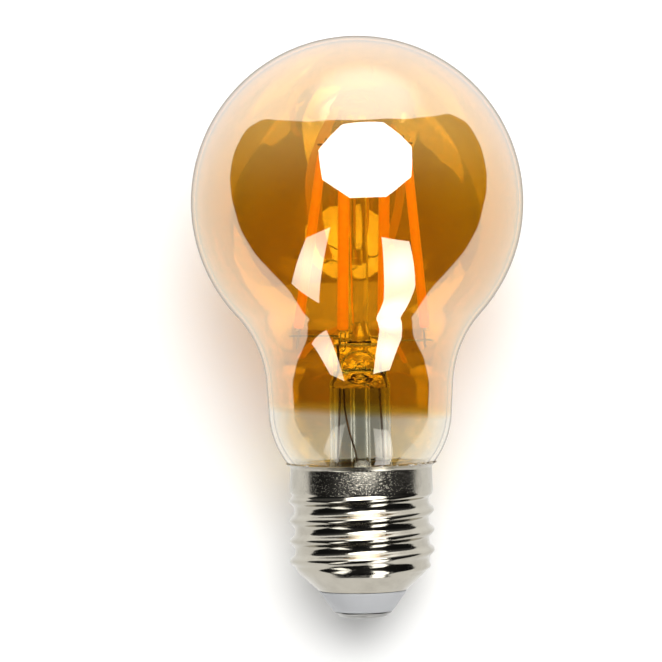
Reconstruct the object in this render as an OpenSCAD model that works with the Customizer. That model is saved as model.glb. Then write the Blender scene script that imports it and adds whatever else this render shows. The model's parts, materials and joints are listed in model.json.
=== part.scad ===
// Screw-cap filament lamp: gold-coated pear-shaped glass, four upright LED filaments
// on a glass stem, and a threaded cap that holds the driver and radio electronics.
// The origin is the face of the centre contact; +Z runs along the lamp axis to the crown.

/* [Glass bulb] */
// Diameter of the round part of the bulb
bulb_d = 60; // [56:1:64]
// Overall height from contact face to crown
total_h = 105; // [102:1:110]
// Diameter of the neck where it turns in to the cap
neck_d = 33; // [32:0.5:35]
// Wall thickness of the blown glass
glass_wall = 0.8; // [0.6:0.1:1]

/* [Stem] */
// Outer diameter of the flare tube
flare_d = 11; // [10.4:0.2:11.6]
// Outer diameter of the exhaust tube
exhaust_d = 3.5; // [3:0.1:3.8]
// Diameter of the glass pillar
pillar_d = 3.8; // [3.2:0.1:4.2]
// Width of the pinched press
press_w = 10; // [9.4:0.2:10.6]
// Thickness of the pinched press
press_t = 4.5; // [4:0.1:5]

/* [Filaments] */
// Height of the lower filament ends
fil_low_z = 48.9; // [48.5:0.1:49.4]
// Height of the upper filament ends
fil_high_z = 86.5; // [85:0.5:87]
// Distance of the lower ends from the axis
fil_low_r = 12.1; // [11.5:0.1:12.6]
// Distance of the upper ends from the axis
fil_high_r = 7.5; // [7:0.1:8]
// Width of the phosphor bar
bar_w = 2; // [1.8:0.1:2.2]
// Thickness of the phosphor bar
bar_t = 1.7; // [1.5:0.1:1.8]
// Number of light-emitting chips on each strip
chip_count = 26; // [20:1:28]

/* [Screw cap] */
// Diameter over the thread crests
crest_d = 26.2; // [26.05:0.05:26.4]
// Diameter at the thread roots
root_d = 24.3; // [24.2:0.05:24.5]
// Thread pitch, seven turns to the inch
pitch = 3.629; // [3.6:0.001:3.65]
// Thickness of the cap's sheet metal
sheet = 0.25; // [0.2:0.05:0.25]
// Diameter of the centre contact
contact_d = 10.4; // [9.8:0.2:10.8]

/* [Electronics] */
// Width of the driver board
board_w = 18; // [16:0.5:19]
// Thickness of the driver board
board_t = 1; // [0.8:0.1:1]
// Diameter of the bulk capacitor
cap_d = 6.3; // [5:0.1:6.5]

/* [Hidden] */
$fn = 64;
gap = 0.1;

// Glass bulb: crown sphere, concave shoulder, slightly tapered neck, convex run into the cap
bulb_r = bulb_d / 2;
crown_z = total_h - bulb_r;
neck_r = neck_d / 2;
neck_lean = 3.5;
neck_top_z = 42.5;
neck_low_z = 36.5;
neck_top_r = neck_r + (neck_top_z - neck_low_z) * tan(neck_lean);
rim_z = 27.9;
rim_glass_r = 13.3;
// The shoulder arc touches the crown sphere and runs into the neck without a corner
rise = crown_z - neck_top_z;
shoulder_r = (neck_top_r * neck_top_r + rise * rise - bulb_r * bulb_r)
  / (2 * (bulb_r - neck_top_r * cos(neck_lean) - rise * sin(neck_lean)));
shoulder_x = neck_top_r + shoulder_r * cos(neck_lean);
shoulder_z = neck_top_z - shoulder_r * sin(neck_lean);
join_a = atan2(crown_z - shoulder_z, shoulder_x);
// The lower arc leaves the neck without a corner and ends at the cap's rim
drop = neck_low_z - rim_z;
inset = neck_r - rim_glass_r;
foot_r = (inset * inset + drop * drop) / (2 * (inset * cos(neck_lean) - drop * sin(neck_lean)));
foot_x = neck_r - foot_r * cos(neck_lean);
foot_z = neck_low_z + foot_r * sin(neck_lean);
foot_a = atan2(foot_z - rim_z, rim_glass_r - foot_x);
seal_z = 22.6;

// Stem levels
flare_r = flare_d / 2;
press_low_z = 41.6;
press_high_z = 49.5;
lead_x = 3.6;
lead_r = 0.22;
wire_r = 0.2;
pillar_top_z = 86.4;
button_r = 2.6;
button_h = 3;

// Each filament: angle of its lower end and how much farther out than the base radius that end
// stands, then the same for its upper end
LEFT = [162, 0, 162, -1.5];
FRONT = [255.5, 0, 252, -0.3];
RIGHT = [347, 0.4, 347, 1.5];
BACK = [69, 0, 45, -0.1];
function low_end(f, z, out = 0) = polar(f[0], fil_low_r + f[1] + out, z);
function high_end(f, z, out = 0) = polar(f[2], fil_high_r + f[3] + out, z);
strip_w = 0.9;
strip_t = 0.4;
clip_low_l = 3.4;
clip_high_l = 2.5;
clip_w = 1.1;
clip_t = 0.2;
slot_w = 0.6;
lap = 0.4;

// Cap levels
skirt_r = 12.9;
cone_slope = 1.1;
thread_top_z = 22.9;
lip_z = 4.9;
lip_r = 8;
cap_sides = 36;
crest_phase_z = 17.5;
insulator_face_z = 1;

// Electronics: the board stands upright in the cap, component side towards -Y
board_y = 1.2;
board_low_z = 8.8;
board_high_z = 21.8;
board_back_y = board_y + board_t;

function polar(a, r, z) = [r * cos(a), r * sin(a), z];
function unit(v) = v / norm(v);
function mix(a, b, t) = a + (b - a) * t;
function clamp(t) = min(1, max(0, t));
function ease(t) = let (c = min(1, max(0, t))) c * c * (3 - 2 * c);

// Points of an arc about [cx, cz] from angle a0 to a1
function arc(cx, cz, r, a0, a1, n) =
  [for (i = [0:n]) let (a = mix(a0, a1, i / n)) [cx + r * cos(a), cz + r * sin(a)]];

// Half outline of the glass at a depth d below its outer skin, crown first
function bulb_outline(d) = concat(
  [[0, crown_z + bulb_r - d]],
  arc(0, crown_z, bulb_r - d, 86, -join_a, 32),
  arc(shoulder_x, shoulder_z, shoulder_r + d, 180 - join_a, 180 - neck_lean, 12),
  arc(foot_x, foot_z, foot_r - d, -neck_lean, -foot_a, 8),
  [[12.68 - d, 27.5], [12.3 - d, 27.1], [12.05 - d, 26.4], [11.85 - d, 24], [11.2 - d, seal_z]]
);

function reversed(list) = [for (i = [len(list) - 1:-1:0]) list[i]];

function rounded_rect(w, h, r, n) = [
  for (c = [[1, 1, 0], [-1, 1, 90], [-1, -1, 180], [1, -1, 270]], i = [0:n])
    [c[0] * (w / 2 - r) + r * cos(c[2] + 90 * i / n), c[1] * (h / 2 - r) + r * sin(c[2] + 90 * i / n)]
];

// Direction of a path at point i
function heading(p, i) = unit(p[min(i + 1, len(p) - 1)] - p[max(i - 1, 0)]);

// Round wire of radius r swept along the points p; side is any direction the wire never takes
module wire(p, r, side) {
  n = 8;
  last = len(p) - 1;
  points = [
    for (i = [0:last], k = [0:n - 1])
      let (t = heading(p, i), u = unit(cross(t, side)), v = cross(t, u))
        p[i] + r * (cos(360 * k / n) * u + sin(360 * k / n) * v)
  ];
  walls = [
    for (i = [0:last - 1], k = [0:n - 1])
      let (a = i * n + k, b = i * n + (k + 1) % n)
        each [[a, b, b + n], [a, b + n, a + n]]
  ];
  ends = [[for (k = [n - 1:-1:0]) k], [for (k = [0:n - 1]) last * n + k]];
  polyhedron(points = points, faces = concat(walls, ends), convexity = 6);
}

module glass_envelope() {
  color([0.9, 0.62, 0.2, 0.35])
    rotate_extrude()
      polygon(concat(bulb_outline(0), reversed(bulb_outline(glass_wall))));
}

module stem_flare() {
  outer = concat([[flare_r, press_low_z]], arc(flare_r + 5, 29, 5, 180, 250, 8), [[10.3, 22.8]]);
  inner = concat(
    [[9.5, 22.8]],
    arc(flare_r + 5, 28.2, 5 + glass_wall, 250, 180, 8),
    [[flare_r - glass_wall, press_low_z]]
  );
  color([0.85, 0.9, 0.9, 0.5])
    rotate_extrude()
      polygon(concat(outer, inner));
}

module stem_press() {
  color([0.85, 0.9, 0.9, 0.5])
    difference() {
      union() {
        hull() {
          translate([0, 0, press_low_z])
            cylinder(r = flare_r, h = 0.4, $fn = 32);
          translate([0, 0, 44])
            linear_extrude(0.4)
              polygon(rounded_rect(press_w, press_t, 1.8, 6));
        }
        translate([0, 0, 44.2])
          linear_extrude(press_high_z - 44.2)
            polygon(rounded_rect(press_w, press_t, 1.8, 6));
      }
      for (x = [-lead_x, lead_x])
        translate([x, 0, press_low_z - 1])
          cylinder(r = lead_r + gap, h = press_high_z - press_low_z + 2);
      // Blow hole that joins the exhaust tube to the inside of the bulb
      translate([0, 0, press_low_z - 1])
        cylinder(r = 1, h = 4);
      translate([0, 0, 44.5])
        rotate([90, 0, 0])
          cylinder(r = 1.2, h = press_t);
    }
}

module exhaust_tube() {
  r = exhaust_d / 2;
  tip_z = 25.5;
  color([0.85, 0.9, 0.9, 0.5])
    rotate_extrude()
      polygon(concat(
        [[r, press_low_z]],
        arc(0, tip_z, r, 0, -90, 6),
        [[0, tip_z - r + 0.8]],
        arc(0, tip_z, r - 0.7, -80, 0, 5),
        [[r - 0.7, press_low_z]]
      ));
}

module pillar_rod() {
  color([0.85, 0.9, 0.9, 0.5])
    translate([0, 0, press_high_z])
      cylinder(d = pillar_d, h = pillar_top_z - press_high_z);
}

// Wires pass through the button at two heights
sides_z = pillar_top_z + 0.9;
ends_z = pillar_top_z + 2;

module pillar_button() {
  color([0.85, 0.9, 0.9, 0.5])
    difference() {
      translate([0, 0, pillar_top_z])
        rotate_extrude()
          polygon(concat(
            [[0, 0], [button_r - 0.6, 0]],
            arc(button_r - 1, 1.1, 1, -60, 80, 8),
            [[0, button_h]]
          ));
      for (w = [[LEFT[2], sides_z], [FRONT[2], ends_z]])
        translate([0, 0, w[1]])
          rotate([0, 90, w[0]])
            cylinder(r = wire_r + gap, h = 4 * button_r, center = true);
    }
}

// Copper leads inside the flare tube, from the press down to the driver board
module outer_lead(s) {
  color("peru")
    wire([
      [s * 3.6, 0, 41.6], [s * 3.6, 0, 40.5], [s * 3.8, 0.1, 36], [s * 4.1, 0.3, 30],
      [s * 4.1, 0.4, 26], [s * 4, 0.5, 23], [s * 4, 0.5, 20.5]
    ], lead_r, [0, 1, 0]);
}

module outer_lead_left() {
  outer_lead(-1);
}

module outer_lead_right() {
  outer_lead(1);
}

// Copper-clad wires that the pinched glass grips
module seal_wire(s) {
  color("indianred")
    translate([s * lead_x, 0, press_low_z])
      cylinder(r = lead_r, h = press_high_z - press_low_z);
}

module seal_wire_left() {
  seal_wire(-1);
}

module seal_wire_right() {
  seal_wire(1);
}

tip = 1.1;
left_wire_z = 50.9;
right_wire_z = 50;

module inner_lead_left() {
  color("silver")
    wire([
      [-lead_x, 0, press_high_z], [-lead_x, 0, 50.2], [-3.9, 0.1, 50.7], [-4.6, 0.4, left_wire_z],
      low_end(LEFT, left_wire_z), low_end(LEFT, left_wire_z, tip)
    ], wire_r, [0, 1, 0]);
}

module inner_lead_right() {
  color("silver")
    wire([
      [lead_x, 0, press_high_z], [lead_x, 0, 49.7], [3.9, -0.1, 49.9], [4.6, -0.4, right_wire_z],
      low_end(RIGHT, right_wire_z), low_end(RIGHT, right_wire_z, tip - 0.2)
    ], wire_r, [0, 1, 0]);
}

module branch_wire_front() {
  color("silver")
    wire([
      [-4.4, -0.35, 50.6], [-4.4, -1.5, 50.5], polar(FRONT[0], 6, 50.4), low_end(FRONT, 50.4, tip)
    ], wire_r, [0, 0, 1]);
}

module branch_wire_back() {
  color("silver")
    wire([
      [4.4, 0.3, 50.3], [4.4, 1.5, 50.3], polar(BACK[0], 6, 50.4), low_end(BACK, 50.4, tip)
    ], wire_r, [0, 0, 1]);
}

// Both bridge wires run straight through the button and dip to the upper clips
module bridge_wire(a, b, mid_z) {
  clip_z = fil_high_z - 1;
  color("silver")
    wire([
      high_end(a, clip_z, 1.2), high_end(a, clip_z + 0.1, -0.9),
      polar(a[2], button_r + 0.8, mid_z), polar(a[2] + 180, button_r + 0.8, mid_z),
      high_end(b, clip_z + 0.1, -0.9), high_end(b, clip_z, 1.2)
    ], wire_r, [0, 0, 1]);
}

module bridge_wire_sides() {
  bridge_wire(LEFT, RIGHT, sides_z);
}

module bridge_wire_ends() {
  bridge_wire(FRONT, BACK, ends_z);
}

// Quarter-wave aerial for the radio, up the front of the flare tube
module antenna_wire() {
  color("goldenrod")
    wire([
      [-2.9, -2.7, 41.4], [-2.8, -2.8, 38], [-2.1, -3.1, 34], [-1.1, -3.2, 30.5], [-0.5, -3.1, 27],
      [-0.6, -2, 24], [-0.8, -0.4, 22.6], [-0.8, 0.7, 21.4], [-0.8, 0.8, 20]
    ], 0.18, [1, 0, 0]);
}

// Places a filament drawn upright: its foot at the lower end, local +X towards the axis
module stand(f) {
  low = low_end(f, fil_low_z);
  run = high_end(f, fil_high_z) - low;
  translate(low)
    rotate([0, acos(run[2] / norm(run)), atan2(run[1], run[0])])
      children();
}

fil_l = norm([fil_low_r - fil_high_r, fil_high_z - fil_low_z]);
bar_low = clip_low_l;
bar_high = fil_l - clip_high_l;

module filament_strip(f) {
  color("ghostwhite")
    stand(f)
      translate([-strip_t / 2, -strip_w / 2, bar_low - lap])
        cube([strip_t, strip_w, bar_high - bar_low + 2 * lap]);
}

module filament_chips(f) {
  step = (bar_high - bar_low) / chip_count;
  color("deepskyblue")
    stand(f)
      for (i = [0:chip_count - 1])
        translate([-strip_t / 2 - 0.15, -0.2, bar_low + step * (i + 0.5) - 0.35])
          cube([0.15, 0.4, 0.7]);
}

module filament_phosphor(f) {
  color("orange")
    stand(f)
      difference() {
        translate([0, 0, bar_low])
          linear_extrude(bar_high - bar_low)
            polygon(rounded_rect(bar_t, bar_w, 0.74, 6));
        translate([-strip_t / 2 - 0.2, -strip_w / 2 - 0.05, bar_low - 1])
          cube([strip_t + 0.25, strip_w + 0.1, bar_high - bar_low + 2]);
      }
}

// Stamped loop that grips one end of the strip; the wire passes through its slot
module clip(length) {
  difference() {
    translate([0, -clip_w / 2, 0])
      cube([clip_t, clip_w, length + lap - gap]);
    translate([-1, -slot_w / 2, 0.5])
      cube([3, slot_w, length - 1.1]);
  }
}

module filament_clips(f) {
  color("silver")
    stand(f) {
      translate([strip_t / 2, 0, -lap])
        clip(clip_low_l);
      translate([strip_t / 2, 0, fil_l + lap])
        mirror([0, 0, 1])
          clip(clip_high_l);
    }
}

module filament_left_strip() {
  filament_strip(LEFT);
}

module filament_left_chips() {
  filament_chips(LEFT);
}

module filament_left_phosphor() {
  filament_phosphor(LEFT);
}

module filament_left_clips() {
  filament_clips(LEFT);
}

module filament_front_strip() {
  filament_strip(FRONT);
}

module filament_front_chips() {
  filament_chips(FRONT);
}

module filament_front_phosphor() {
  filament_phosphor(FRONT);
}

module filament_front_clips() {
  filament_clips(FRONT);
}

module filament_right_strip() {
  filament_strip(RIGHT);
}

module filament_right_chips() {
  filament_chips(RIGHT);
}

module filament_right_phosphor() {
  filament_phosphor(RIGHT);
}

module filament_right_clips() {
  filament_clips(RIGHT);
}

module filament_back_strip() {
  filament_strip(BACK);
}

module filament_back_chips() {
  filament_chips(BACK);
}

module filament_back_phosphor() {
  filament_phosphor(BACK);
}

module filament_back_clips() {
  filament_clips(BACK);
}

// Outer radius of the cap at height z and angle a: flared rim, plain skirt, right-hand round
// thread with wide roots that fades in and out, and the cone above the insulator, whose
// straight flank runs into the root in a soft corner
function cone_r(z) =
  let (line = lip_r + cone_slope * (z - lip_z), soft = 1.2, top = root_d / 2)
    let (h = max(0, min(1, 0.5 + 0.5 * (top - line) / soft)))
      mix(top, line, h) - soft * h * (1 - h);
function wave_r(z, a) =
  mix(root_d, crest_d, pow(0.5 + 0.5 * cos(360 * (z - crest_phase_z) / pitch - (a - 180)), 1.7)) / 2;
function cap_r(z, a) =
  z > thread_top_z ?
    skirt_r - 0.12 * pow(clamp((z - 23.2) / 4), 2) + 0.82 * pow(clamp((z - 27.1) / 0.8), 1.3) :
  mix(cone_r(z), mix(wave_r(z, a), skirt_r, ease((z - thread_top_z + 1.4) / 1.4)), ease((z - 8.2) / 1.8));

module cap_shell() {
  cone_rows = [lip_z, 6, 7.1, 7.7, 8.1];
  thread_rows = [for (z = [8.6:0.51:thread_top_z]) z];
  skirt_rows = [23.2, 24.6, 25.8, 26.6, 27.1, 27.35, 27.6, rim_z];
  levels = concat(cone_rows, thread_rows, skirt_rows);
  n = cap_sides;
  m = len(levels);
  function ring(z, d) = [for (k = [0:n - 1]) polar(360 * k / n, cap_r(z, 360 * k / n) - d, z)];
  points = concat([for (z = levels) each ring(z, 0)], [for (z = levels) each ring(z, sheet)]);
  function band(a, b) = [
    for (k = [0:n - 1])
      let (j = (k + 1) % n)
        each [[a + k, b + j, a + j], [a + k, b + k, b + j]]
  ];
  outer = [for (i = [0:m - 2]) each band(i * n, (i + 1) * n)];
  inner = [for (i = [0:m - 2]) each band((m + i + 1) * n, (m + i) * n)];
  edges = concat(band((m - 1) * n, (2 * m - 1) * n), band(m * n, 0));
  color("gainsboro")
    polyhedron(points = points, faces = concat(outer, inner, edges), convexity = 10);
}

module cap_insulator() {
  color("whitesmoke")
    rotate_extrude()
      polygon([
        [1.4, insulator_face_z], [5.35, insulator_face_z], [lip_r, lip_z - gap], [7.4, lip_z - gap],
        [7.4, 5.8], [8.5, 6], [8.5, 7.4], [1.4, 7.4]
      ]);
}

module centre_contact() {
  color("lightgray")
    rotate_extrude()
      polygon([
        [0, 0], [3.6, 0], [4.6, 0.25], [contact_d / 2, 0.75], [contact_d / 2, insulator_face_z],
        [1.2, insulator_face_z], [1.2, 8], [0, 8]
      ]);
}

module cap_cement() {
  color("gray")
    rotate_extrude()
      polygon([
        [11.95, 24], [12.15, 26.4], [12.38, 27.1], [12.69, 27.45], [12.71, 27.45], [12.43, 27.1],
        [12.43, 24]
      ]);
}

module driver_board() {
  color("seagreen")
    translate([0, board_y, 0])
      translate([-board_w / 2, 0, board_low_z])
        cube([board_w, board_t, board_high_z - board_low_z]);
}

module bulk_capacitor() {
  color("midnightblue")
    translate([-4.5, -3.2, 10]) {
      cylinder(d = cap_d, h = 1.2);
      translate([0, 0, 1.2])
        cylinder(d = cap_d - 0.5, h = 0.6);
      translate([0, 0, 1.8])
        cylinder(d = cap_d, h = 7.2);
    }
}

module power_inductor() {
  color("saddlebrown")
    translate([4.4, -2.3, 9.8]) {
      cylinder(r = 2.6, h = 0.8);
      translate([0, 0, 0.8])
        cylinder(r = 2.2, h = 4.4);
      translate([0, 0, 5.2])
        cylinder(r = 2.6, h = 0.8);
    }
}

module fusible_resistor() {
  color("powderblue")
    translate([2, -1, 18])
      rotate([0, 90, 0])
        cylinder(r = 1.1, h = 5);
}

module bridge_rectifier() {
  color("dimgray")
    translate([1.6, board_back_y, 9.4])
      cube([4.7, 1.6, 3.9]);
}

module driver_chip() {
  color("dimgray")
    translate([-6.4, board_back_y, 9.4])
      cube([4.9, 1.5, 3.9]);
}

module radio_module() {
  color("royalblue")
    translate([-6.5, board_back_y, 13.9])
      cube([13, 0.8, 7.4]);
}

module radio_shield() {
  color("silver")
    translate([-5.6, board_back_y + 0.8, 14.4])
      cube([8.6, 1.5, 6.4]);
}

// Two columns of chip capacitors and resistors, on the board's outer margins
module chip_passives() {
  color("tan")
    for (x = [-8.3, 7.3], i = [0:4])
      translate([x, board_back_y, 9.8 + 2.3 * i])
        cube([1, 0.6, 1.6]);
}

// Fillets of solder where the two leads meet the board's front face
module solder_joints() {
  color("lightslategray")
    for (x = [-4, 4])
      translate([x, board_y, 21])
        rotate([90, 0, 0])
          cylinder(r1 = 0.9, r2 = 0.5, h = 0.35);
}

// Side wire from the board to the threaded shell
module shell_lead() {
  color("peru")
    wire([[-8.2, 0.9, 10.6], [-8.2, 0.4, 11], [-9.4, 0, 11.3], [-11.2, 0, 11.3]], 0.25, [0, 0.2, 1]);
}

// Wire from the contact's rivet to the board
module contact_lead() {
  color("peru")
    wire([[0, 0, 8], [0, -0.2, 9], [0.2, 0.1, 9.8], [0.2, 0.9, 10.2]], 0.25, [1, 0, 0]);
}

glass_envelope();
stem_flare();
stem_press();
exhaust_tube();
pillar_rod();
pillar_button();
outer_lead_left();
outer_lead_right();
seal_wire_left();
seal_wire_right();
inner_lead_left();
inner_lead_right();
branch_wire_front();
branch_wire_back();
bridge_wire_sides();
bridge_wire_ends();
antenna_wire();
filament_left_strip();
filament_left_chips();
filament_left_phosphor();
filament_left_clips();
filament_front_strip();
filament_front_chips();
filament_front_phosphor();
filament_front_clips();
filament_right_strip();
filament_right_chips();
filament_right_phosphor();
filament_right_clips();
filament_back_strip();
filament_back_chips();
filament_back_phosphor();
filament_back_clips();
cap_shell();
cap_insulator();
centre_contact();
cap_cement();
driver_board();
bulk_capacitor();
power_inductor();
fusible_resistor();
bridge_rectifier();
driver_chip();
radio_module();
radio_shield();
chip_passives();
solder_joints();
shell_lead();
contact_lead();
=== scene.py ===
"""Screw-cap filament lamp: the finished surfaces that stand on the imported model.

Each sub-assembly is a class that holds its sizes in millimetres, builds its meshes with numpy
and dresses them with its finishes. Everything is placed in the model's own frame, in metres.
"""

import json
import logging
import math
from dataclasses import dataclass, field
from enum import Enum

import bmesh
import bpy
import numpy as np
from mathutils import Matrix, Vector

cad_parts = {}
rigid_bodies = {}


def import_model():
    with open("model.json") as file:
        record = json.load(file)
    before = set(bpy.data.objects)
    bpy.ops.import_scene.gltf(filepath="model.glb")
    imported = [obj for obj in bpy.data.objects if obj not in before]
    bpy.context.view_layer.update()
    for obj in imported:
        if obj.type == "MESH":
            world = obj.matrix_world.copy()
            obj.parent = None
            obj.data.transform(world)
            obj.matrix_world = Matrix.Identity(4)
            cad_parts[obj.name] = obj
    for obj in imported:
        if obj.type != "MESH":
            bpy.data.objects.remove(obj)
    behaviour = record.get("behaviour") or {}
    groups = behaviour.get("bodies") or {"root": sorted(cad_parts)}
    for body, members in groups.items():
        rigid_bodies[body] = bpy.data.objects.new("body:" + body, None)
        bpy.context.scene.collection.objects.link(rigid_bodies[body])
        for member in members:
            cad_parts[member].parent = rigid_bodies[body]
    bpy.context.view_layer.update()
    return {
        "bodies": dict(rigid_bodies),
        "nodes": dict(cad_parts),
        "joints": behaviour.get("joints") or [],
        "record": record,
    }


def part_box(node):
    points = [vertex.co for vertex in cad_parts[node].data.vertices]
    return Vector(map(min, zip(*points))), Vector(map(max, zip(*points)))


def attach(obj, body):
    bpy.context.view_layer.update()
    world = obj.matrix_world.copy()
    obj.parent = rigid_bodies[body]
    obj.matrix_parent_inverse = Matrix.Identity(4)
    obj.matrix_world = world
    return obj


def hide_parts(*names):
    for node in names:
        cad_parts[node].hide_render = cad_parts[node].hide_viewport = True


LOG = logging.getLogger("lamp")
MM = 0.001
BODY = "root"
SEED = 7

Vec = tuple[float, float, float]  # a point, a direction or a colour
Surface = tuple[np.ndarray, np.ndarray]  # points in millimetres and quads of indices
Socket = bpy.types.NodeSocket


class Slot(Enum):
    """Material slots of the record that the pieces stand for, named in the log beside each piece.
    """

    AMBER_GLASS = "amber_glass"
    CLEAR_GLASS = "clear_glass"
    PHOSPHOR = "phosphor_silicone"
    NICKEL_WIRE = "nickel_wire"
    COPPER = "copper_wire"
    NICKEL_PLATE = "nickel_plate"
    CONTACT = "contact_metal"
    INSULATOR = "insulator_plastic"
    CEMENT = "cement"


# ---- shader building


class Graph:
    """The node tree of a material or a world, with short ways to add and join nodes."""

    def __init__(self, name: str, world: bool = False) -> None:
        """Starts an empty tree.

        Args:
            name: Name of the material or world.
            world: True for a world, whose coordinates are directions.
        """
        self.owner = (bpy.data.worlds if world else bpy.data.materials).new(name)
        self.owner.use_nodes = True
        self.tree = self.owner.node_tree
        self.tree.nodes.clear()
        self.output = self.tree.nodes.new("ShaderNodeOutput" + ("World" if world else "Material"))
        places = self.tree.nodes.new("ShaderNodeTexCoord").outputs
        self.coords = places["Generated" if world else "Object"]

    def add(self, kind: str, settings: dict | None = None, **sockets: object) -> bpy.types.Node:
        """Adds a node and fills its inputs.

        Args:
            kind: Node type without its ShaderNode prefix.
            settings: Node properties by name.
            **sockets: Inputs by name, with _ for a space; an output socket is linked.

        Returns:
            The new node.
        """
        node = self.tree.nodes.new("ShaderNode" + kind)
        for key, value in (settings or {}).items():
            setattr(node, key, value)
        for key, value in sockets.items():
            self.feed(node.inputs[key.replace("_", " ")], value)
        return node

    def feed(self, socket: Socket, value: object) -> None:
        """Links an output to a socket, or sets the socket's own value.

        Args:
            socket: The input to fill.
            value: An output socket, a number, or a colour.
        """
        if isinstance(value, Socket):
            self.tree.links.new(value, socket)
        elif isinstance(value, tuple) and len(value) == 3 and len(socket.default_value) == 4:
            socket.default_value = (*value, 1.0)
        else:
            socket.default_value = value

    def math(self, kind: str, *values: object, clamp: bool = False) -> Socket:
        """Result of a Math node on the values."""
        node = self.add("Math", {"operation": kind, "use_clamp": clamp})
        for socket, value in zip(node.inputs, values):
            self.feed(socket, value)
        return node.outputs[0]

    def times(self, a: object, b: object) -> Socket:
        """Product of a and b."""
        return self.math("MULTIPLY", a, b)

    def plus(self, a: object, b: object, clamp: bool = False) -> Socket:
        """Sum of a and b."""
        return self.math("ADD", a, b, clamp=clamp)

    def against(self, kind: str, vector: Vec) -> Socket:
        """Value of a vector operation between the coordinates and a fixed vector."""
        node = self.add("VectorMath", {"operation": kind}, Vector=self.coords)
        node.inputs[1].default_value = vector
        return node.outputs["Value"]

    def mix(self, factor: object, first: Socket, second: Socket) -> Socket:
        """Shader that goes from the first to the second as factor goes from 0 to 1."""
        node = self.add("MixShader", Fac=factor)
        self.feed(node.inputs[1], first)
        self.feed(node.inputs[2], second)
        return node.outputs[0]

    def blend(self, factor: object, a: object, b: object) -> Socket:
        """Colour that goes from a to b as factor goes from 0 to 1."""
        node = self.add("Mix", {"data_type": "RGBA"})
        self.feed(node.inputs["Factor"], factor)
        self.feed(node.inputs["A"], a)
        self.feed(node.inputs["B"], b)
        return node.outputs["Result"]

    def ramp(self, value: object, low: float, high: float, out_low: object = 0.0,
             out_high: object = 1.0) -> Socket:
        """Smooth step of value from out_low at low to out_high at high."""
        node = self.add("MapRange", {"interpolation_type": "SMOOTHSTEP"}, Value=value,
                        From_Min=low, From_Max=high, To_Min=out_low, To_Max=out_high)
        return node.outputs["Result"]

    def stretched(self, scale: Vec) -> Socket:
        """Object coordinates multiplied by scale along each axis."""
        return self.add("Mapping", Vector=self.coords, Scale=scale).outputs[0]

    def noise(self, scale: float, detail: float = 3.0, vector: object = None) -> Socket:
        """Noise value around 0.5, with scale features a metre."""
        node = self.add("TexNoise", Vector=vector or self.coords, Scale=scale, Detail=detail)
        return node.outputs[0]

    def bump(self, height: object, depth: float, strength: float = 1.0) -> Socket:
        """Normal of a surface raised by height times depth metres."""
        return self.add("Bump", Height=height, Distance=depth, Strength=strength).outputs[0]

    def axis(self, name: str) -> Socket:
        """One axis of the object coordinates, in metres."""
        return self.add("SeparateXYZ", Vector=self.coords).outputs[name]

    def principled(self, **sockets: object) -> bpy.types.Material:
        """The finished material of one Principled shader with these inputs."""
        return self.finish(self.add("BsdfPrincipled", **sockets).outputs[0])

    def finish(self, shader: Socket) -> bpy.types.ID:
        """Joins the shader to the output and hands over the material or world."""
        self.tree.links.new(shader, self.output.inputs["Surface"])
        return self.owner


# ---- finishes


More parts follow.
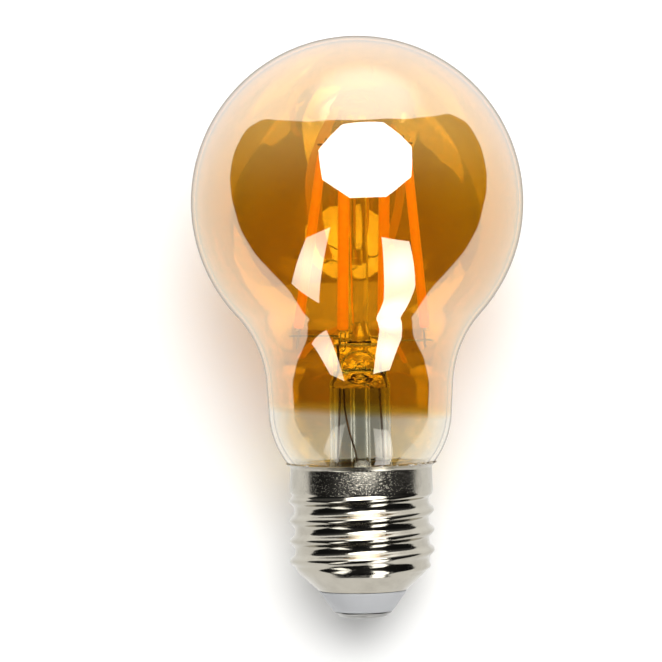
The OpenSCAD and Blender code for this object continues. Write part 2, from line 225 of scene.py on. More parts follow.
@dataclass(frozen=True)
class MirrorGlass:
    """Blown glass that mirrors part of the light and tints the rest.

    Where coated, it carries a gold film that thins out towards the crown, ends in a soft,
    slightly tilted edge near the neck and leaves a faint haze below it.
    """

    name: str
    coated: bool = True
    tint: Vec = (1.0, 0.63, 0.05)
    thin: Vec = (1.0, 0.74, 0.30)
    haze: Vec = (1.0, 0.97, 0.89)
    bare: Vec = (0.985, 0.99, 0.985)
    mirror: float = 0.31
    haze_mirror: float = 0.05
    bare_mirror: float = 0.04
    sheen: Vec = (1.0, 0.92, 0.77)
    crown_sheen: Vec = (1.0, 0.94, 0.90)
    # rim: painted shade, the darker mirrored colour along the outline
    rim: Vec = (0.50, 0.47, 0.43)
    thin_z: tuple[float, float] = (70.0, 92.0)
    haze_sheen: Vec = (1.0, 0.97, 0.92)
    edge_z: float = 37.7
    edge_soft: float = 1.0
    edge_tilt: float = -0.06
    coated_power: float = 1.9
    bare_power: float = 5.0

    @staticmethod
    def share(g: Graph, base: object, power: float, facing: Socket) -> Socket:
        """Mirrored share: base head on, rising to all with a power of the turn from the eye."""
        rise = g.times(g.math("SUBTRACT", 1.0, base), g.math("POWER", facing, power))
        return g.plus(base, rise, clamp=True)

    def material(self) -> bpy.types.Material:
        """Builds the glass.

        Returns:
            A mix of a tinted see-through share and a sharp mirror share that grows at
            glancing angles; along the outline the mirrored colour is darkened to the rim colour, a
            painted shade in the reflection.
        """
        g = Graph(self.name)
        facing = g.add("LayerWeight", Blend=0.5).outputs["Facing"]
        # painted shade: the band along the outline where the mirrored colour darkens to rim
        outline = g.ramp(facing, 0.78, 0.93)
        ripple = g.bump(g.noise(90.0, 1.0), 0.00012, 0.35)
        if self.coated:
            tilt = g.times(g.axis("X"), self.edge_tilt)
            uneven = g.times(g.noise(160.0, 2.0), 0.5 * MM)
            level = g.plus(g.math("SUBTRACT", g.axis("Z"), tilt), uneven)
            coat = g.ramp(level, (self.edge_z - self.edge_soft) * MM,
                          (self.edge_z + self.edge_soft) * MM)
            cloud = g.ramp(g.noise(45.0, 4.0), 0.3, 0.7)
            high = g.ramp(g.axis("Z"), self.thin_z[0] * MM, self.thin_z[1] * MM)
            full = g.blend(cloud, self.tint, tuple(c * 0.95 for c in self.tint))
            gold = g.blend(high, full, self.thin)
            tint = g.blend(coat, self.haze, gold)
            base = g.ramp(coat, 0.0, 1.0, self.haze_mirror, self.mirror)
            share = self.share(g, base, self.coated_power, facing)
            film = g.blend(high, self.sheen, self.crown_sheen)
            sheen = g.blend(coat, self.haze_sheen, film)
        else:
            tint = self.bare
            share = self.share(g, self.bare_mirror, self.bare_power, facing)
            sheen = (1.0, 1.0, 1.0)
        smear = g.ramp(g.noise(220.0, 3.0), 0.35, 0.75, 0.0, 0.02)
        through = g.add("BsdfTransparent", Color=tint)
        gloss = g.add("BsdfAnisotropic", Color=g.blend(outline, sheen, self.rim), Roughness=smear,
                      Normal=ripple)
        return g.finish(g.mix(share, through.outputs[0], gloss.outputs[0]))


@dataclass(frozen=True)
class SolidGlass:
    """Thick clear glass that bends light, for the stem."""

    name: str
    colour: Vec = (0.97, 0.985, 0.975)
    waviness: float = 0.25
    lumps: float = 0.0

    def material(self) -> bpy.types.Material:
        """Builds clear glass with faint drawing lines along the stem."""
        g = Graph(self.name)
        drawn = g.noise(700.0, 2.0, g.stretched((1.0, 1.0, 0.12)))
        folds = g.add("Bump", Height=g.noise(420.0, 2.0), Distance=0.0004, Strength=self.lumps)
        normal = g.add("Bump", Height=drawn, Distance=0.00008, Strength=self.waviness,
                       Normal=folds.outputs[0]).outputs[0]
        return g.principled(Base_Color=self.colour, Roughness=0.015, IOR=1.5,
                            Transmission_Weight=1.0, Normal=normal)


@dataclass(frozen=True)
class Metal:
    """Bare or plated metal with fine marks and an uneven polish."""

    name: str
    colour: Vec
    tarnish: Vec
    rough: float = 0.15
    grain: Vec = (1.0, 1.0, 1.0)
    grain_scale: float = 2500.0
    grain_depth: float = 0.00001
    spots: float = 0.25

    def material(self) -> bpy.types.Material:
        """Builds the metal: grain lines in the bump, dull clouds in the roughness and colour."""
        g = Graph(self.name)
        lines = g.noise(self.grain_scale, 2.0, g.stretched(self.grain))
        cloud = g.ramp(g.noise(180.0, 4.0), 0.35, 0.75)
        colour = g.blend(g.times(cloud, self.spots), self.colour, self.tarnish)
        polish = g.plus(g.times(cloud, 0.10), self.rough)
        speckle = g.times(g.ramp(g.noise(1900.0, 2.0), 0.55, 0.75), 0.12)
        normal = g.bump(lines, self.grain_depth, 0.6)
        return g.principled(Base_Color=colour, Metallic=1.0, Normal=normal,
                            Roughness=g.plus(polish, speckle, clamp=True))


@dataclass(frozen=True)
class PressedNickel:
    """Bright nickel plate on pressed sheet: polished thread, satin skirt with fine pits."""

    name: str
    colour: Vec = (0.55, 0.52, 0.445)
    tarnish: Vec = (0.40, 0.37, 0.31)
    rough: float = 0.11
    satin: float = 0.2
    skirt_z: float = 22.9

    def material(self) -> bpy.types.Material:
        """Builds the plate: rougher above the thread, pits and drawing lines in the bump."""
        g = Graph(self.name)
        skirt = g.ramp(g.axis("Z"), (self.skirt_z - 0.8) * MM, (self.skirt_z + 0.6) * MM)
        cloud = g.ramp(g.noise(260.0, 4.0), 0.35, 0.75)
        colour = g.blend(g.times(cloud, 0.4), self.colour, self.tarnish)
        even = g.ramp(skirt, 0.0, 1.0, self.rough, self.satin)
        polish = g.plus(even, g.times(cloud, 0.06))
        pits = g.ramp(g.noise(3600.0, 2.0), 0.56, 0.70)
        lines = g.noise(1100.0, 2.0, g.stretched((0.15, 0.15, 4.0)))
        fine = g.bump(lines, 0.000006, 0.5)
        pitted = g.add("Bump", {"invert": True}, Height=pits, Distance=0.00002,
                       Strength=g.ramp(skirt, 0.0, 1.0, 0.15, 0.7), Normal=fine)
        return g.principled(Base_Color=colour, Metallic=1.0, Roughness=polish,
                            Normal=pitted.outputs[0])


@dataclass(frozen=True)
class Moulded:
    """Plastic, ceramic, resin or cement with a grain and mottled colour."""

    name: str
    colour: Vec
    second: Vec
    rough: float = 0.5
    mottle_scale: float = 300.0
    grain_scale: float = 3000.0
    grain_depth: float = 0.00002
    glow: float = 0.0
    soft: float = 0.0

    def material(self) -> bpy.types.Material:
        """Builds the finish; glow is light that the piece gives off in its own colour."""
        g = Graph(self.name)
        cloud = g.ramp(g.noise(self.mottle_scale, 4.0), 0.3, 0.7)
        colour = g.blend(cloud, self.colour, self.second)
        normal = g.bump(g.noise(self.grain_scale, 3.0), self.grain_depth, 0.8)
        polish = g.plus(g.times(cloud, 0.12), self.rough, clamp=True)
        return g.principled(Base_Color=colour, Roughness=polish, Normal=normal,
                            Emission_Color=colour, Emission_Strength=self.glow,
                            Subsurface_Weight=self.soft, Subsurface_Scale=0.5 * MM)


# ---- mesh building


def grid_quads(rows: int, cols: int, wrap: bool = True) -> np.ndarray:
    """Quads between neighbouring rows and columns of a grid of points.

    Args:
        rows: Number of rows.
        cols: Number of points in a row.
        wrap: True if the last point of a row joins its first.

    Returns:
        An array of four corner indices a quad.
    """
    last = cols if wrap else cols - 1
    i, j = np.meshgrid(np.arange(rows - 1), np.arange(last), indexing="ij")
    k = (j + 1) % cols
    quads = np.stack([i * cols + j, (i + 1) * cols + j, (i + 1) * cols + k, i * cols + k], axis=-1)
    return quads.reshape(-1, 4)


def piece(name: str, points: np.ndarray, quads: np.ndarray, finishes: list[bpy.types.Material],
          slots: np.ndarray | None = None, crease: float = 40.0) -> bpy.types.Object:
    """Makes one closed, welded mesh object with outward faces.

    Args:
        name: Name of the piece.
        points: Corners in millimetres, as rows of x, y, z.
        quads: Corner indices of each face.
        finishes: Materials of the piece.
        slots: Material index of each face; all 0 if left out.
        crease: Edges that bend by more than this many degrees are shaded sharp.

    Returns:
        The new object, at the origin.
    """
    mesh = bpy.data.meshes.new(name)
    mesh.from_pydata((points.reshape(-1, 3) * MM).tolist(), [], quads.tolist())
    for finish in finishes:
        mesh.materials.append(finish)
    if slots is not None:
        mesh.polygons.foreach_set("material_index", slots.astype(np.int32))
    form = bmesh.new()
    form.from_mesh(mesh)
    bmesh.ops.remove_doubles(form, verts=form.verts, dist=1e-7)
    bmesh.ops.dissolve_degenerate(form, edges=form.edges, dist=1e-8)
    bmesh.ops.recalc_face_normals(form, faces=form.faces)
    form.to_mesh(mesh)
    form.free()
    mesh.polygons.foreach_set("use_smooth", np.ones(len(mesh.polygons), dtype=bool))
    mesh.set_sharp_from_angle(angle=math.radians(crease))
    mesh.update()
    thing = bpy.data.objects.new(name, mesh)
    bpy.context.scene.collection.objects.link(thing)
    return thing


def revolved(profile: np.ndarray, turns: int = 128) -> Surface:
    """Surface of a half outline turned about the lamp's axis.

    Args:
        profile: Rows of radius and height, in order along the outline.
        turns: Number of steps round the axis.

    Returns:
        Points (radius times cosine and sine of the turn, height) and their quads.
    """
    a = full_turn(turns)
    r = profile[:, :1]
    z = np.broadcast_to(profile[:, 1:], (len(r), turns))
    points = np.stack([r * np.cos(a), r * np.sin(a), z], axis=-1)
    return points, grid_quads(len(profile), turns)


def full_turn(count: int) -> np.ndarray:
    """Equal steps round a circle in radians, without the last that repeats the first."""
    return np.linspace(0.0, 2 * np.pi, count, endpoint=False)


def unit(t: np.ndarray) -> np.ndarray:
    """Values held between 0 and 1."""
    return np.clip(t, 0.0, 1.0)


def ease(t: np.ndarray) -> np.ndarray:
    """Smooth step from 0 to 1 as t goes from 0 to 1."""
    c = unit(t)
    return c * c * (3 - 2 * c)


def squarish(a: np.ndarray, power: np.ndarray | float) -> Surface:
    """Cosine and sine of a to a power, signs kept; a power below 1 squares the circle."""
    c, s = np.cos(a), np.sin(a)
    return np.sign(c) * np.abs(c) ** power, np.sign(s) * np.abs(s) ** power


def capped(rows: np.ndarray) -> Surface:
    """Level rings, closed at each end by a fan to the axis of the drawing."""
    low, high = (np.zeros_like(rows[:1]) + [0.0, 0.0, rows[k, 0, 2]] for k in (0, -1))
    return np.concatenate([low, rows, high]), grid_quads(len(rows) + 2, rows.shape[1])


def closed_profile(profile: np.ndarray) -> np.ndarray:
    """The outline with its first point repeated at the end, so its surface closes on itself."""
    return np.vstack([profile, profile[:1]])


def arc(cx: float, cz: float, r: float, start: float, end: float, steps: int) -> np.ndarray:
    """Points of an arc: centre plus radius times the cosine and sine of angles in degrees."""
    a = np.radians(np.linspace(start, end, steps + 1))
    return np.stack([cx + r * np.cos(a), cz + r * np.sin(a)], axis=-1)


def smooth_path(knots: list[Vec], steps: int = 10) -> np.ndarray:
    """Cubic curve through the knots, whose slope at a knot is half the step between its neighbours.

    Args:
        knots: Points that the path goes through.
        steps: Number of short runs between two knots.

    Returns:
        Rows of points along the path.
    """
    p = np.asarray(knots, dtype=float)
    ends = np.vstack([2 * p[0] - p[1], p, 2 * p[-1] - p[-2]])
    t = np.linspace(0.0, 1.0, steps, endpoint=False)[None, :, None]
    a, b, c, d = (ends[k:k + len(p) - 1, None, :] for k in range(4))
    square, cube = 2 * a - 5 * b + 4 * c - d, 3 * b - a - 3 * c + d
    run = 0.5 * (2 * b + (c - a) * t + square * t ** 2 + cube * t ** 3)
    return np.vstack([run.reshape(-1, 3), p[-1:]])


def swept(path: np.ndarray, radius: np.ndarray | float, side: Vec,
          sides: int = 16) -> Surface:
    """Round tube along a path with domed ends.

    Each ring is the path's point plus the radius times the cosine and sine of the turn along two
    directions square to the path; three shrinking rings at each end close it in a dome.

    Args:
        path: Points along the middle of the tube.
        radius: Radius of the tube, one value or one for each point.
        side: A direction that the path never takes.
        sides: Number of points in a ring.

    Returns:
        Points and quads of the tube.
    """
    r = np.broadcast_to(np.asarray(radius, dtype=float), (len(path),))
    t = np.gradient(path, axis=0)
    t /= np.linalg.norm(t, axis=1, keepdims=True)
    dome = np.radians(np.array([90.0, 60.0, 30.0]))
    start = path[0] - np.outer(np.sin(dome) * r[0], t[0])
    end = path[-1] + np.outer(np.sin(dome[::-1]) * r[-1], t[-1])
    spine = np.vstack([start, path, end])
    heading = np.vstack([np.repeat(t[:1], 3, axis=0), t, np.repeat(t[-1:], 3, axis=0)])
    size = np.concatenate([np.cos(dome) * r[0], r, np.cos(dome[::-1]) * r[-1]])
    u = np.cross(heading, np.asarray(side, dtype=float))
    u /= np.linalg.norm(u, axis=1, keepdims=True)
    v = np.cross(heading, u)
    a = full_turn(sides)[None, :, None]
    ring = np.cos(a) * u[:, None, :] + np.sin(a) * v[:, None, :]
    points = spine[:, None, :] + size[:, None, None] * ring
    return points, grid_quads(len(spine), sides)


def joined(parts: list[Surface]) -> Surface:
    """Several surfaces as one list of points and one of quads."""
    flat = [p.reshape(-1, 3) for p, _ in parts]
    starts = np.cumsum([0] + [len(p) for p in flat[:-1]])
    return np.vstack(flat), np.vstack([q + s for (_, q), s in zip(parts, starts)])


def polar(degrees: float, r: float, z: float) -> Vec:
    """Point at an angle round the axis, a radius and a height."""
    a = math.radians(degrees)
    return (r * math.cos(a), r * math.sin(a), z)


def place(thing: bpy.types.Object, slot: Slot, *nodes: str) -> None:
    """Ties a finished piece to the lamp and reports it.

    Args:
        thing: The finished piece.
        slot: The record's material slot that it stands for.
        *nodes: Model nodes that it replaces.
    """
    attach(thing, BODY)
    if nodes:
        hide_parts(*nodes)
    LOG.info("%s: %d faces, slot %s, stands for %s", thing.name, len(thing.data.polygons),
             slot.value, ", ".join(nodes) or "no node")


def repaint(frame: dict, node: str, finish: bpy.types.Material) -> None:
    """Gives a carried-over node its finish."""
    materials = frame["nodes"][node].data.materials
    materials.clear()
    materials.append(finish)
    LOG.info("%s: kept as packed, finish %s", node, finish.name)


# ---- the lamp


@dataclass
class GlassBulb:
    """The blown envelope: crown sphere, concave shoulder, tapered neck, run into the cap."""

    wall: float = 0.8
    neck_r: float = 16.5
    neck_lean: float = 3.5
    neck_top_z: float = 42.5
    neck_low_z: float = 36.5
    rim_z: float = 27.9
    rim_r: float = 13.3
    seat: tuple[tuple[float, float], ...] = (
        (12.68, 27.5), (12.3, 27.1), (12.05, 26.4), (11.85, 24.0))
    seal_r: float = 11.2
    turns: int = 160

    def outline(self, depth: float) -> np.ndarray:
        """Half outline at a depth below the outer skin, from the crown down.

        The shoulder's arc touches the crown sphere, of radius r, and the leaning neck. With c
        and s the cosine and sine of the lean, a the neck's radius and h the height between, its
        radius is (a^2 + h^2 - r^2) / 2(r - a c - h s). The foot's arc leaves the neck and ends
        at the rim, inset by a and h below: (a^2 + h^2) / 2(a c - h s).

        Args:
            depth: Distance below the skin.

        Returns:
            Rows of radius and height.
        """
        low, high = (np.array(v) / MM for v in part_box("glass_envelope"))
        r = 0.5 * (high[1] - low[1])
        crown = high[2] - r
        lean = math.radians(self.neck_lean)
        c, s = math.cos(lean), math.sin(lean)
        top_r = self.neck_r + (self.neck_top_z - self.neck_low_z) * s / c
        rise = crown - self.neck_top_z
        shoulder = (top_r ** 2 + rise ** 2 - r ** 2) / (2 * (r - top_r * c - rise * s))
        sx, sz = top_r + shoulder * c, self.neck_top_z - shoulder * s
        meet = math.degrees(math.atan2(crown - sz, sx))
        drop = self.neck_low_z - self.rim_z
        inset = self.neck_r - self.rim_r
        foot = (inset ** 2 + drop ** 2) / (2 * (inset * c - drop * s))
        fx, fz = self.neck_r - foot * c, self.neck_low_z + foot * s
        sweep = math.degrees(math.atan2(fz - self.rim_z, self.rim_r - fx))
        tail = np.array([*self.seat, (self.seal_r, low[2])])
        return np.vstack([
            arc(0.0, crown, r - depth, 90.0, -meet, 96),
            arc(sx, sz, shoulder + depth, 180.0 - meet, 180.0 - self.neck_lean, 28)[1:],
            arc(fx, fz, foot - depth, -self.neck_lean, -sweep, 20),
            tail - [depth, 0.0],
        ])

    def build(self) -> None:
        """Makes the glass as a real wall: coated outside, clear inside."""
        coat = MirrorGlass("gold_coated_glass").material()
        clear = MirrorGlass("clear_glass_inside", coated=False).material()
        outer, inner = self.outline(0.0), self.outline(self.wall)
        points, quads = revolved(np.vstack([outer, inner[::-1]]), self.turns)
        slots = (np.arange(len(quads)) // self.turns >= len(outer) - 1).astype(int)
        bulb = piece("glass_bulb", points, quads, [coat, clear], slots)
        place(bulb, Slot.AMBER_GLASS, "glass_envelope")


@dataclass
class Stem:
    """The fused glass inside the bulb, with the leads that run through it."""

    flare_r: float = 5.5
    bend_r: float = 5.0
    bend_z: float = 29.0
    mouth_r: float = 10.3
    mouth_z: float = 22.8
    wall: float = 0.8
    press_low_z: float = 41.6
    press_high_z: float = 49.5
    press_half_w: float = 4.9
    press_half_t: float = 2.1
    press_round: float = 0.9
    hole_z: float = 45.2
    hole_half: tuple[float, float] = (2.1, 1.9)
    exhaust_r: float = 1.75
    exhaust_wall: float = 0.7
    exhaust_tip_z: float = 25.5
    pillar_r: float = 1.9
    pillar_top_z: float = 86.4
    button: Vec = (2.55, 87.9, 1.48)
    lead_x: float = 3.6
    lead_r: float = 0.22
    aerial_r: float = 0.18

    def flare(self) -> Surface:
        """Tube that opens into a trumpet at the seal."""
        middle = self.flare_r + self.bend_r
        outer = np.vstack([
            [[self.flare_r, self.press_low_z]],
            arc(middle, self.bend_z, self.bend_r, 180.0, 250.0, 18),
            [[self.mouth_r, self.mouth_z]],
        ])
        inner = np.vstack([
            [[self.mouth_r - self.wall, self.mouth_z]],
            arc(middle, self.bend_z - self.wall, self.bend_r + self.wall, 250.0, 180.0, 18),
            [[self.flare_r - self.wall, self.press_low_z]],
        ])
        return revolved(closed_profile(np.vstack([outer, inner])), 96)

    def press(self) -> Surface:
        """Pinched end of the flare tube.

        Each level is a ring whose half width and half thickness ease from the tube's round to
        the pinched slab, and whose roundness (the power of the sine and cosine) eases with them.
        A soft ring with a dip inside it stands at the blow hole, front and back.

        Returns:
            Points and quads.
        """
        top = self.press_high_z
        z = self.press_low_z + (top - self.press_low_z) * np.linspace(0.0, 1.0, 60)
        pinch = ease((z - self.press_low_z - 0.2) / 3.2)
        waist = 0.25 * np.sin(np.pi * pinch)
        half_w = self.flare_r + (self.press_half_w - self.flare_r) * pinch - waist
        half_t = self.flare_r + (self.press_half_t - self.flare_r) * pinch
        crown = unit((z - (top - self.press_round)) / self.press_round)
        inset = self.press_round * (1 - np.sqrt(unit(1.0 - crown ** 2)))
        power = (2.0 / (2.0 + 1.6 * pinch))[:, None]
        a = full_turn(96)[None, :]
        x, y = squarish(a, power)
        x, y = (half_w - inset)[:, None] * x, (half_t - inset)[:, None] * y
        zz = np.broadcast_to(z[:, None], x.shape)
        away = np.hypot(x / self.hole_half[0], (zz - self.hole_z) / self.hole_half[1])
        front = unit(np.abs(np.sin(a)) * 1.5)
        ring, dip = 0.75 * np.exp(-((away - 1.0) / 0.34) ** 2), 0.55 * np.exp(-(away * 1.5) ** 2)
        y = y + np.sign(y) * ((ring - dip) * front)
        return capped(np.stack([x, y, zz], axis=-1))

    def exhaust(self) -> Surface:
        """Thin tube that ends in a melted tip inside the cap."""
        tip, r, bore = self.exhaust_tip_z, self.exhaust_r, self.exhaust_r - self.exhaust_wall
        outer = np.vstack([[[r, self.press_low_z]], arc(0.0, tip, r, 0.0, -90.0, 12)])
        inner = np.vstack([arc(0.0, tip, bore, -90.0, 0.0, 12), [[bore, self.press_low_z]]])
        return revolved(np.vstack([outer, inner, outer[:1]]), 64)

    def pillar(self) -> Surface:
        """Glass rod from the press to the button, a little thicker where it is fused."""
        z = np.linspace(self.press_high_z, self.pillar_top_z, 60)
        foot = 0.5 * np.exp(-(z - z[0]) / 0.8)
        head = 0.35 * np.exp(-(z[-1] - z) / 0.7)
        r = self.pillar_r - 0.12 + 0.05 * np.sin(z * 0.9) + np.minimum(foot + head, 0.5)
        profile = np.stack([r, z], axis=-1)
        return revolved(np.vstack([[[0.0, z[0]]], profile, [[0.0, z[-1]]]]), 64)

    def knob(self) -> Surface:
        """Melted button that holds the bridge wires: a flattened ball."""
        r, z, half = self.button
        a = np.radians(np.linspace(-90.0, 90.0, 33))
        profile = np.stack([r * np.cos(a) ** 0.8, z + half * np.sin(a)], axis=-1)
        return revolved(profile, 64)

    def outer_lead(self, s: int) -> list[Vec]:
        """Knots of the copper lead on side s, from the press to the driver board."""
        x = self.lead_x
        return [(s * x, 0.0, 41.7), (s * x, 0.0, 40.5), (s * 3.8, 0.1, 36.0), (s * 4.1, 0.3, 30.0),
                (s * 4.1, 0.4, 26.0), (s * 4.0, 0.5, 23.0), (s * 4.0, 0.5, 20.7)]

    def build(self) -> None:
        """Makes the glass pieces, the copper leads and the aerial wire."""
        glass = SolidGlass("stem_glass").material()
        folded = SolidGlass("press_glass", lumps=0.8).material()
        tube = MirrorGlass("tube_glass", coated=False, bare_mirror=0.06).material()
        for name, node, shape, finish in (
            ("flare_tube", "stem_flare", self.flare(), tube),
            ("press_glass", "stem_press", self.press(), folded),
            ("exhaust_glass", "exhaust_tube", self.exhaust(), glass),
            ("pillar_glass", "pillar_rod", self.pillar(), glass),
            ("button_glass", "pillar_button", self.knob(), glass),
        ):
            place(piece(name, *shape, [finish]), Slot.CLEAR_GLASS, node)
        copper = Metal("copper_lead", (0.22, 0.13, 0.09), (0.06, 0.045, 0.04), rough=0.3, spots=0.8,
                       grain=(1.0, 1.0, 0.05), grain_scale=4000.0).material()
        for side, s in (("left", -1), ("right", 1)):
            seal = np.linspace((s * self.lead_x, 0.0, self.press_low_z + 0.3),
                               (s * self.lead_x, 0.0, self.press_high_z - 0.3), 12)
            for name, node, path in (("copper_lead", "outer_lead", smooth_path(self.outer_lead(s))),
                                     ("press_wire", "seal_wire", seal)):
                wire = piece(f"{name}_{side}", *swept(path, self.lead_r, (0, 1, 0)), [copper])
                place(wire, Slot.COPPER, f"{node}_{side}")
        aerial = smooth_path([
            (-2.9, -2.7, 41.2), (-2.8, -2.8, 38.0), (-2.1, -3.1, 34.0), (-1.1, -3.2, 30.5),
            (-0.5, -3.1, 27.0), (-0.6, -2.0, 24.0), (-0.8, -0.4, 22.6), (-0.8, 0.7, 21.4),
            (-0.8, 0.8, 20.2),
        ])
        wire = piece("aerial", *swept(aerial, self.aerial_r, (1, 0, 0)), [copper])
        place(wire, Slot.COPPER, "antenna_wire")


@dataclass
class Filament:
    """One light-giving strip: angle round the axis and extra radius of its lower and upper end."""

    side: str
    low_angle: float
    low_out: float
    high_angle: float
    high_out: float


@dataclass
class FilamentCage:
    """Four filaments that lean in towards the top, with the wires that hold and feed them."""

    low_z: float = 48.9
    high_z: float = 86.5
    low_r: float = 12.1
    high_r: float = 7.5
    bar_w: float = 2.0
    bar_t: float = 1.7
    wire_r: float = 0.2
    tip: float = 1.1
    clip_low: float = 3.4
    clip_high: float = 2.5
    lap: float = 0.4
    strip: Vec = (0.42, 0.13, 0.1)
    filaments: list[Filament] = field(default_factory=lambda: [
        Filament("left", 162.0, 0.0, 162.0, -1.5),
        Filament("front", 255.5, 0.0, 252.0, -0.3),
        Filament("right", 347.0, 0.4, 347.0, 1.5),
        Filament("back", 69.0, 0.0, 45.0, -0.1),
    ])

    def low_end(self, f: Filament, z: float, out: float = 0.0) -> Vec:
        """Point at height z, a distance outside a filament's lower end."""
        return polar(f.low_angle, self.low_r + f.low_out + out, z)

    def high_end(self, f: Filament, z: float, out: float = 0.0) -> Vec:
        """Point at height z, a distance outside a filament's upper end."""
        return polar(f.high_angle, self.high_r + f.high_out + out, z)

    def stand(self, f: Filament, points: np.ndarray) -> np.ndarray:
        """Turns points drawn upright to lie along a filament, with local x towards the axis.

        Args:
            f: The filament.
            points: Points with the filament's lower end at the origin and its length along z.

        Returns:
            The points in the lamp's frame.
        """
        low = np.array(self.low_end(f, self.low_z))
        run = np.array(self.high_end(f, self.high_z)) - low
        length = np.linalg.norm(run)
        lean, heading = math.acos(run[2] / length), math.atan2(run[1], run[0])
        turn = np.array(Matrix.Rotation(heading, 3, "Z") @ Matrix.Rotation(lean, 3, "Y"))
        return points.reshape(-1, 3) @ turn.T + low

    @property
    def length(self) -> float:
        """Distance between the two ends of a filament."""
        return math.hypot(self.low_r - self.high_r, self.high_z - self.low_z)

    def bar(self) -> Surface:
        """Phosphor bar: a rounded box section whose size swells and dips a little along it.

        Each ring is half the thickness and half the width times the cosine and sine raised to
        a power below one, and the last rings at each end shrink to a soft tip.

        Returns:
            Points and quads.
        """
        z = np.linspace(self.clip_low, self.length - self.clip_high, 120)
        near = np.minimum(z - z[0], z[-1] - z)
        tip = np.sqrt(unit(1.0 - (1.0 - unit(near / 0.6)) ** 2))
        swell = 1.0 + 0.03 * np.sin(z * 5.2) + 0.02 * np.sin(z * 11.7 + 1.0)
        size = (tip * 0.35 + 0.65) * np.minimum(swell, 1.0)
        x, y = squarish(full_turn(32), 0.7)
        section = np.stack([0.5 * self.bar_t * x, 0.5 * self.bar_w * y], axis=-1)
        ring = size[:, None, None] * section[None]
        level = np.broadcast_to(z[:, None, None], (len(z), 32, 1))
        return capped(np.concatenate([ring, level], axis=-1))

    def clip(self, start: float, end: float) -> Surface:
        """Stamped loop between two heights: a flat ring with a squared outline and an oval strip.

        Args:
            start: Height of the loop's free end.
            end: Height of the end that grips the strip.

        Returns:
            Points and quads.
        """
        half_w, strip_w, strip_t = self.strip
        mid, half_h = 0.5 * (start + end), 0.5 * abs(end - start) - 0.14
        cy, cz = squarish(full_turn(48), 0.45)
        cy, cz = half_w * cy, mid + half_h * cz
        b = full_turn(12)
        out = np.stack([cy / half_w, (cz - mid) / half_h], axis=-1)
        out /= np.linalg.norm(out, axis=1, keepdims=True)
        y = cy[:, None] + strip_w * np.cos(b) * out[:, :1]
        z = cz[:, None] + strip_w * np.cos(b) * out[:, 1:]
        x = 0.3 + strip_t * np.sin(b)[None, :] + np.zeros_like(y)
        points = np.stack([x, y, z], axis=-1)
        return np.concatenate([points, points[:1]]), grid_quads(49, 12)

    def wires(self) -> list[tuple[str, str, Vec, list[Vec]]]:
        """Name, node, a direction never taken and knots of each nickel wire."""
        left, front, right, back = self.filaments
        clip_z = self.high_z - 1.0
        across, upright = (0, 1, 0), (0, 0, 1)

        def bridge(a: Filament, b: Filament, z: float) -> list[Vec]:
            """Knots of a wire through the button at height z between two upper clips."""
            return [self.high_end(a, clip_z, 1.2), self.high_end(a, clip_z + 0.1, -0.9),
                    polar(a.high_angle, 3.4, z), polar(a.high_angle + 180.0, 3.4, z),
                    self.high_end(b, clip_z + 0.1, -0.9), self.high_end(b, clip_z, 1.2)]

        def inner(f: Filament, reach: float, knots: list[Vec], z: float) -> list[Vec]:
            """Knots of a lead that turns out of the press to a lower clip at height z."""
            return [*knots, self.low_end(f, z), self.low_end(f, z, reach)]

        def branch(f: Filament, first: Vec, second: Vec) -> list[Vec]:
            """Knots of a wire from a lead round to the front or back filament."""
            return [first, second, polar(f.low_angle, 6.0, 50.4), self.low_end(f, 50.4, self.tip)]

        return [
            ("inner_wire_left", "inner_lead_left", across, inner(left, self.tip, [
                (-3.6, 0.0, 49.5), (-3.6, 0.0, 50.2), (-3.9, 0.1, 50.7), (-4.6, 0.4, 50.9)], 50.9)),
            ("inner_wire_right", "inner_lead_right", across, inner(right, self.tip - 0.2, [
                (3.6, 0.0, 49.5), (3.6, 0.0, 49.7), (3.9, -0.1, 49.9), (4.6, -0.4, 50.0)], 50.0)),
            ("branch_front", "branch_wire_front", upright,
             branch(front, (-4.4, -0.35, 50.6), (-4.4, -1.5, 50.5))),
            ("branch_back", "branch_wire_back", upright,
             branch(back, (4.4, 0.3, 50.3), (4.4, 1.5, 50.3))),
            ("bridge_sides", "bridge_wire_sides", upright, bridge(left, right, 87.3)),
            ("bridge_ends", "bridge_wire_ends", upright, bridge(front, back, 88.4)),
        ]

    def build(self, frame: dict) -> None:
        """Makes bars, clips and wires, and dresses the strips and chips inside the bars.

        Args:
            frame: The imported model.
        """
        # painted glow: the phosphor gives off light in its own orange though no current runs
        # through the lamp
        phosphor = Moulded("phosphor", (1.0, 0.36, 0.008), (1.0, 0.42, 0.015), rough=0.38,
                           soft=0.3, mottle_scale=900.0, grain_scale=2600.0, grain_depth=0.00005,
                           glow=0.62).material()
        ceramic = Moulded("strip_ceramic", (0.86, 0.84, 0.80), (0.80, 0.78, 0.73),
                          rough=0.35).material()
        chip = Moulded("emitter_chip", (0.10, 0.24, 0.55), (0.14, 0.30, 0.62),
                       rough=0.12).material()
        nickel = Metal("nickel_wire", (0.55, 0.52, 0.48), (0.25, 0.22, 0.2), rough=0.22, spots=0.5,
                       grain_scale=3500.0).material()
        top = self.length
        loops = joined([self.clip(-self.lap, self.clip_low),
                        self.clip(top - self.clip_high, top + self.lap)])
        parts = (("phosphor_bar", "phosphor", self.bar(), phosphor, Slot.PHOSPHOR),
                 ("end_clips", "clips", loops, nickel, Slot.NICKEL_WIRE))
        for f in self.filaments:
            for name, node, (points, quads), finish, slot in parts:
                made = piece(f"{name}_{f.side}", self.stand(f, points), quads, [finish])
                place(made, slot, f"filament_{f.side}_{node}")
            repaint(frame, f"filament_{f.side}_strip", ceramic)
            repaint(frame, f"filament_{f.side}_chips", chip)
        for name, node, side, knots in self.wires():
            wire = swept(smooth_path(knots), self.wire_r, side)
            place(piece(name, *wire, [nickel]), Slot.NICKEL_WIRE, node)


